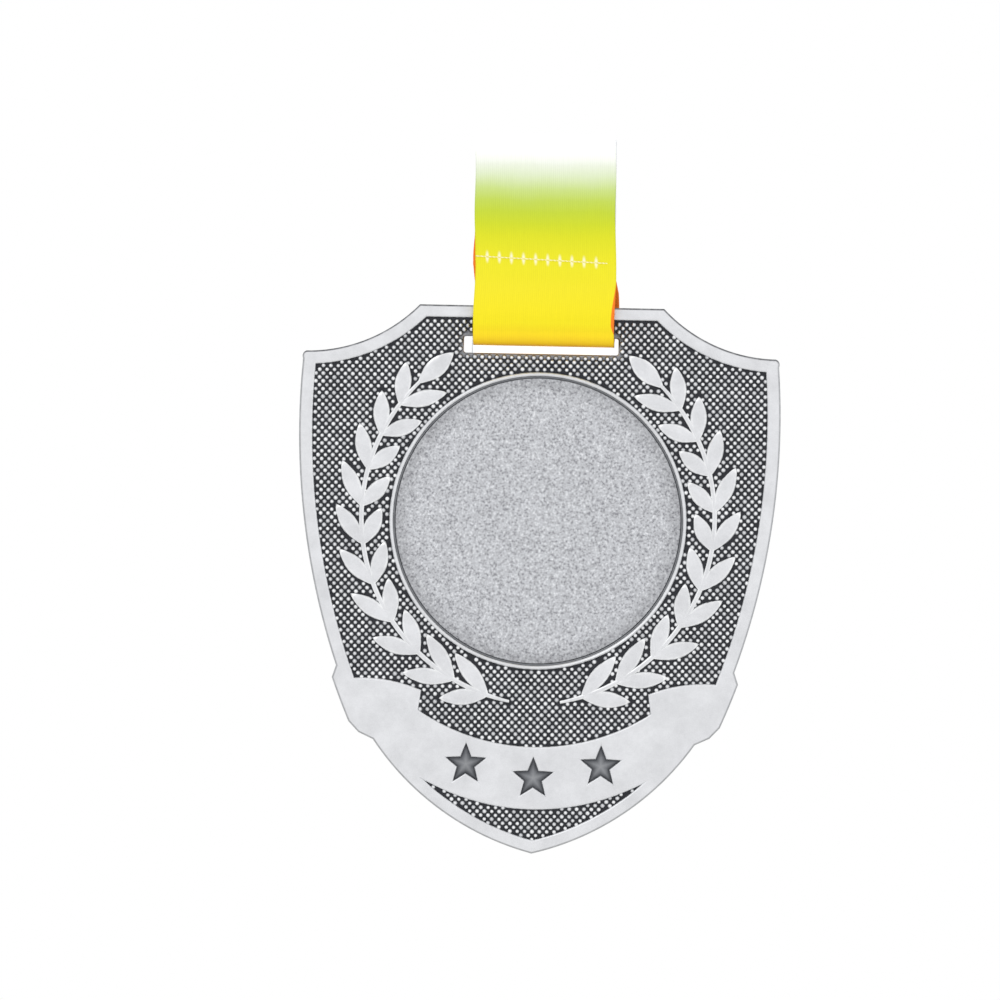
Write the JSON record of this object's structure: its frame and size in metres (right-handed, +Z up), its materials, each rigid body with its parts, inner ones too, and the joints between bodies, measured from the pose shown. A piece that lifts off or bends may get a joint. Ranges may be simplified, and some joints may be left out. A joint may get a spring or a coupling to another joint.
{
  "type": "sports finisher medal",
  "caption": "Shield-shaped cast medal with laurels, stars and a round frosted insert, on a sewn neck ribbon hung over a peg with its spare length folded behind.",
  "frame": {"origin": "axis of the peg or finger that the ribbon's top fold hangs on, at the middle of the medal's width", "axes": "+X across the ribbon to the right of the front, +Y from the medal's front to its back, +Z up"},
  "size_m": [0.0856, 0.0206, 0.1285],
  "materials": {
    "antique_silver": "die-cast zinc alloy, antique silver plated, dark patina in the recesses",
    "frosted_silver": "sand-blasted frosted disc",
    "adhesive": "clear peel-and-stick pad",
    "ribbon": "woven polyester satin, printed yellow fading through green to white, orange at the back",
    "elastic": "flat knitted elastic",
    "thread": "spun polyester sewing thread"
  },
  "bodies": {
    "stowed_ribbon": {"ribbon_fold": "ribbon", "ribbon_hank": "ribbon", "hank_tie": "elastic"},
    "hanger": {"ribbon_hanger_loop": "ribbon", "ribbon_inner_strand": "ribbon", "seam_needle_thread": "thread", "seam_bobbin_thread": "thread"},
    "medal": {"shield_casting": "antique_silver", "centre_insert": "frosted_silver", "insert_adhesive": "adhesive"}
  },
  "joints": [
    {"name": "hanger_swing", "type": "hinge", "parent": "stowed_ribbon", "child": "hanger", "pos_m": [0, 0, 0], "axis": [-1, 0, 0], "range_deg": [0, 80], "deforming": ["ribbon_fold"]},
    {"name": "medal_rock", "type": "hinge", "parent": "hanger", "child": "medal", "pos_m": [0, -0.00425, -0.0305], "axis": [-1, 0, 0], "range_deg": [-3, 20]}
  ]
}
